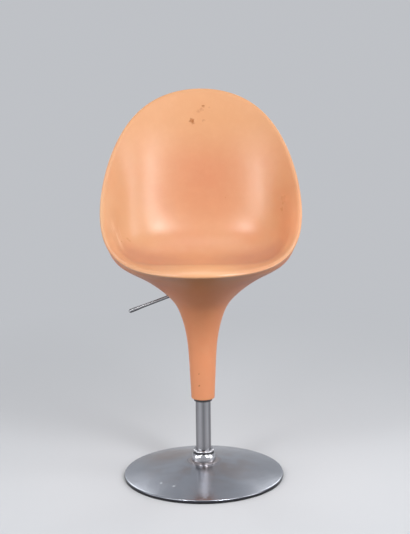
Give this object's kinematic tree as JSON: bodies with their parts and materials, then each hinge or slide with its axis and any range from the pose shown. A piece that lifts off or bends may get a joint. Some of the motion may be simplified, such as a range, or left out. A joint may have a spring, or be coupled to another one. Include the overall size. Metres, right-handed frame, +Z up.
{
  "type": "bar stool",
  "caption": "Egg-shaped swivel stool with a trumpet stem on a chromed gas-lift column, a side lever and a weighted round foot.",
  "frame": {"origin": "on the floor, on the axis of the column, at the underside of the floor pad", "axes": "+Z up along the column; the open front of the seat faces -Y; +X is the sitter's left, and the lever points to -X"},
  "size_m": [0.4888, 0.454, 0.9516],
  "materials": {
    "orange_shell": "satin moulded plastic",
    "satin_disc": "satin",
    "bright_chrome": "polished",
    "plain_steel": "plain",
    "ballast_iron": "rough",
    "black_paint": "semi-gloss",
    "light_alloy": "machined",
    "bearing_brass": "plain",
    "pad_rubber": "matt",
    "black_plastic": "matt",
    "grey_plastic": "matt"
  },
  "bodies": {
    "base": {"base_cover": "satin_disc", "ballast_plate": "ballast_iron", "floor_pad": "pad_rubber", "foot_collar": "bright_chrome", "column_tube": "bright_chrome", "column_flange": "plain_steel", "flange_screws": "plain_steel", "column_guide_bush": "black_plastic", "bearing_seat": "plain_steel", "thrust_washer_lower": "plain_steel", "thrust_balls": "plain_steel", "ball_cage": "bearing_brass"},
    "rotor": {"thrust_washer_upper": "plain_steel", "piston_rod": "bright_chrome", "piston_head": "light_alloy", "piston_seal": "pad_rubber", "rod_clip": "plain_steel", "rod_bumper": "pad_rubber"},
    "seat": {"gas_cylinder": "black_paint", "cylinder_gland": "light_alloy", "seat_bracket": "black_paint", "bracket_screws": "plain_steel", "seat_shell": "orange_shell", "outer_shell": "orange_shell", "stem_bush": "grey_plastic", "lever_pivot_pin": "plain_steel"},
    "lever": {"lever_rocker": "plain_steel", "lever_rod": "bright_chrome"},
    "release_pin": {"release_pin": "plain_steel"}
  },
  "joints": [
    {"name": "swivel", "type": "hinge", "parent": "base", "child": "rotor", "pos_m": [0, 0, 0.03755], "axis": [0, 0, 1], "continuous": true},
    {"name": "seat_lift", "type": "slide", "parent": "rotor", "child": "seat", "axis": [0, 0, 1], "range_m": [-0.116, 0]},
    {"name": "lever_lift", "type": "hinge", "parent": "seat", "child": "lever", "pos_m": [-0.03, 0, 0.4822], "axis": [0, 1, 0], "range_deg": [0, 7], "stiffness_Nm_per_rad": 2},
    {"name": "pin_press", "type": "slide", "parent": "seat", "child": "release_pin", "axis": [0, 0, -1], "range_m": [0, 0.0036], "stiffness_N_per_m": 400}
  ],
  "couplings": [
    {"joint": "pin_press", "follows": "lever_lift", "m_per_rad": 0.029}
  ]
}
